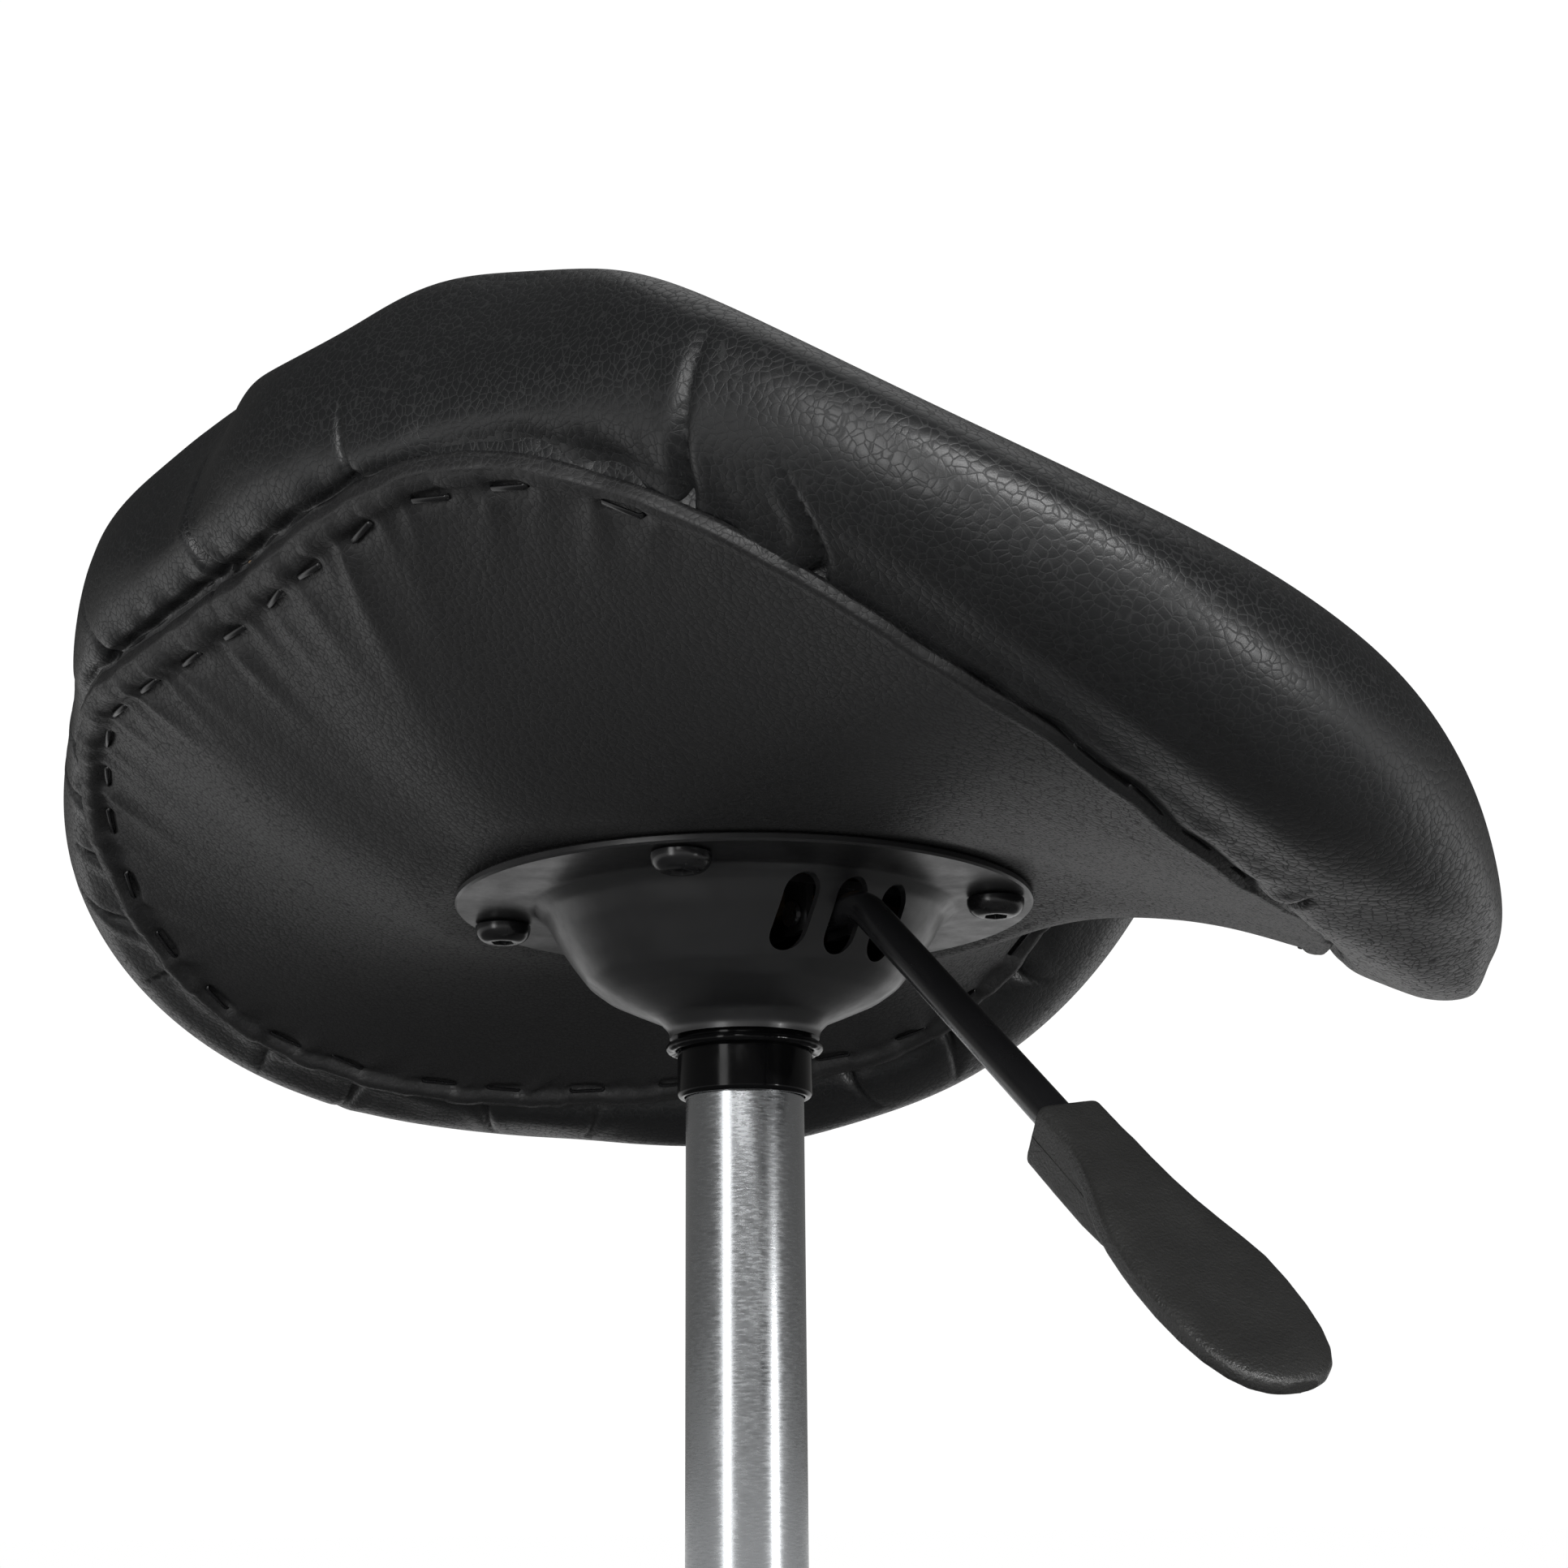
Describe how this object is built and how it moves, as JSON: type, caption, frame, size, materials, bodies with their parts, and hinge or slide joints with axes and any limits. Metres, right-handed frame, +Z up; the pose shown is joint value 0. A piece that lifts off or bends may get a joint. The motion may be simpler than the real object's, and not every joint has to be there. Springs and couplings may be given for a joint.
{
  "type": "rolling stylist stool",
  "caption": "Rolling stylist stool: saddle-shaped upholstered seat on a bell plate with release lever, gas-lift column and five-arm base on twin-wheel casters.",
  "frame": {"origin": "on the floor, on the pole's axis, which is also the middle of the overall box to within 1 mm", "axes": "+Z up along the pole; the sitter faces -Y, the wide back of the saddle is at +Y, and the release lever leaves the bell towards -X"},
  "size_m": [0.4937, 0.4963, 0.624],
  "materials": {
    "black_leatherette": "pebble-grained black PU leather, satin sheen",
    "plywood": "moulded plywood, unfinished",
    "underside_vinyl": "fine-grained black vinyl, low sheen",
    "zinc_steel": "zinc plated",
    "black_screw": "black oxide, slightly glossy",
    "black_paint": "semi-gloss black paint over pressed steel",
    "collar_paint": "glossy black paint",
    "bright_steel": "bright drawn steel, fine lengthwise lines",
    "rod_steel": "hard chromed and polished",
    "bearing_steel": "ground steel",
    "spring_steel": "phosphated",
    "brass": "ball cage",
    "rubber": "black rubber",
    "nylon_natural": "natural nylon",
    "black_plastic": "fine-textured black plastic",
    "polished_aluminium": "polished and bright plated",
    "chrome": "chromed steel tube"
  },
  "bodies": {
    "base": {"base_star": "polished_aluminium", "outer_column": "chrome", "guide_bushing": "black_plastic", "bearing_race_lower": "bearing_steel", "bearing_ball_cage": "brass"},
    "rod": {"piston_rod": "rod_steel", "piston": "nylon_natural", "bearing_race_upper": "bearing_steel", "rubber_buffer": "rubber", "retaining_clip": "spring_steel"},
    "seat": {"seat_cushion": "black_leatherette", "seat_board": "plywood", "underside_cover": "underside_vinyl", "t_nut_1": "zinc_steel", "t_nut_2": "zinc_steel", "t_nut_3": "zinc_steel", "t_nut_4": "zinc_steel", "seat_bolt_1": "black_screw", "seat_bolt_2": "black_screw", "seat_bolt_3": "black_screw", "seat_bolt_4": "black_screw", "bell_plate": "black_paint", "neck_ring": "black_paint", "socket_tube": "collar_paint", "lever_bracket": "black_paint", "pivot_pin": "bright_steel", "gas_cylinder": "bright_steel", "rod_guide": "rubber"},
    "button": {"release_button": "bright_steel"},
    "lever": {"lever_rod": "black_paint", "lever_grip": "black_plastic"},
    "caster_1": {"caster_1_hood": "black_plastic", "caster_1_stem": "bearing_steel", "caster_1_axle": "bearing_steel"},
    "wheel_1_left": {"caster_1_wheel_left": "black_plastic"},
    "wheel_1_right": {"caster_1_wheel_right": "black_plastic"},
    "caster_2": {"caster_2_hood": "black_plastic", "caster_2_stem": "bearing_steel", "caster_2_axle": "bearing_steel"},
    "wheel_2_left": {"caster_2_wheel_left": "black_plastic"},
    "wheel_2_right": {"caster_2_wheel_right": "black_plastic"},
    "caster_3": {"caster_3_hood": "black_plastic", "caster_3_stem": "bearing_steel", "caster_3_axle": "bearing_steel"},
    "wheel_3_left": {"caster_3_wheel_left": "black_plastic"},
    "wheel_3_right": {"caster_3_wheel_right": "black_plastic"},
    "caster_4": {"caster_4_hood": "black_plastic", "caster_4_stem": "bearing_steel", "caster_4_axle": "bearing_steel"},
    "wheel_4_left": {"caster_4_wheel_left": "black_plastic"},
    "wheel_4_right": {"caster_4_wheel_right": "black_plastic"},
    "caster_5": {"caster_5_hood": "black_plastic", "caster_5_stem": "bearing_steel", "caster_5_axle": "bearing_steel"},
    "wheel_5_left": {"caster_5_wheel_left": "black_plastic"},
    "wheel_5_right": {"caster_5_wheel_right": "black_plastic"}
  },
  "joints": [
    {"name": "seat_swivel", "type": "hinge", "parent": "base", "child": "rod", "pos_m": [0, 0, 0.07], "axis": [0, 0, 1], "continuous": true},
    {"name": "seat_lift", "type": "slide", "parent": "rod", "child": "seat", "axis": [0, 0, 1], "range_m": [-0.14, 0]},
    {"name": "lever_tilt", "type": "hinge", "parent": "seat", "child": "lever", "pos_m": [-0.033, 0, 0.49], "axis": [0, 1, 0], "range_deg": [0, 5]},
    {"name": "button_press", "type": "slide", "parent": "seat", "child": "button", "axis": [0, 0, -1], "range_m": [0, 0.0033], "stiffness_N_per_m": 400, "springref_m": -0.002},
    {"name": "caster_1_swivel", "type": "hinge", "parent": "base", "child": "caster_1", "pos_m": [-0.03676, 0.23211, 0.058], "axis": [0, 0, 1], "continuous": true},
    {"name": "wheel_1_left_roll", "type": "hinge", "parent": "caster_1", "child": "wheel_1_left", "pos_m": [-0.03875, 0.21321, 0.025], "axis": [0.9945, -0.1045, 0], "continuous": true},
    {"name": "wheel_1_right_roll", "type": "hinge", "parent": "caster_1", "child": "wheel_1_right", "pos_m": [-0.03875, 0.21321, 0.025], "axis": [0.9945, -0.1045, 0], "continuous": true},
    {"name": "caster_2_swivel", "type": "hinge", "parent": "base", "child": "caster_2", "pos_m": [-0.23211, 0.03676, 0.058], "axis": [0, 0, 1], "continuous": true},
    {"name": "wheel_2_left_roll", "type": "hinge", "parent": "caster_2", "child": "wheel_2_left", "pos_m": [-0.21346, 0.04039, 0.025], "axis": [-0.1908, 0.9816, 0], "continuous": true},
    {"name": "wheel_2_right_roll", "type": "hinge", "parent": "caster_2", "child": "wheel_2_right", "pos_m": [-0.21346, 0.04039, 0.025], "axis": [-0.1908, 0.9816, 0], "continuous": true},
    {"name": "caster_3_swivel", "type": "hinge", "parent": "base", "child": "caster_3", "pos_m": [-0.10669, -0.20939, 0.058], "axis": [0, 0, 1], "continuous": true},
    {"name": "wheel_3_left_roll", "type": "hinge", "parent": "caster_3", "child": "wheel_3_left", "pos_m": [-0.08907, -0.2165, 0.025], "axis": [0.3746, 0.9272, 0], "continuous": true},
    {"name": "wheel_3_right_roll", "type": "hinge", "parent": "caster_3", "child": "wheel_3_right", "pos_m": [-0.08907, -0.2165, 0.025], "axis": [0.3746, 0.9272, 0], "continuous": true},
    {"name": "caster_4_swivel", "type": "hinge", "parent": "base", "child": "caster_4", "pos_m": [0.16617, -0.16617, 0.058], "axis": [0, 0, 1], "continuous": true},
    {"name": "wheel_4_left_roll", "type": "hinge", "parent": "caster_4", "child": "wheel_4_left", "pos_m": [0.14972, -0.15667, 0.025], "axis": [-0.5, -0.866, 0], "continuous": true},
    {"name": "wheel_4_right_roll", "type": "hinge", "parent": "caster_4", "child": "wheel_4_right", "pos_m": [0.14972, -0.15667, 0.025], "axis": [-0.5, -0.866, 0], "continuous": true},
    {"name": "caster_5_swivel", "type": "hinge", "parent": "base", "child": "caster_5", "pos_m": [0.20939, 0.10669, 0.058], "axis": [0, 0, 1], "continuous": true},
    {"name": "wheel_5_left_roll", "type": "hinge", "parent": "caster_5", "child": "wheel_5_left", "pos_m": [0.21526, 0.12476, 0.025], "axis": [-0.9511, 0.309, 0], "continuous": true},
    {"name": "wheel_5_right_roll", "type": "hinge", "parent": "caster_5", "child": "wheel_5_right", "pos_m": [0.21526, 0.12476, 0.025], "axis": [-0.9511, 0.309, 0], "continuous": true}
  ],
  "couplings": [
    {"joint": "button_press", "follows": "lever_tilt", "m_per_rad": 0.0368}
  ]
}
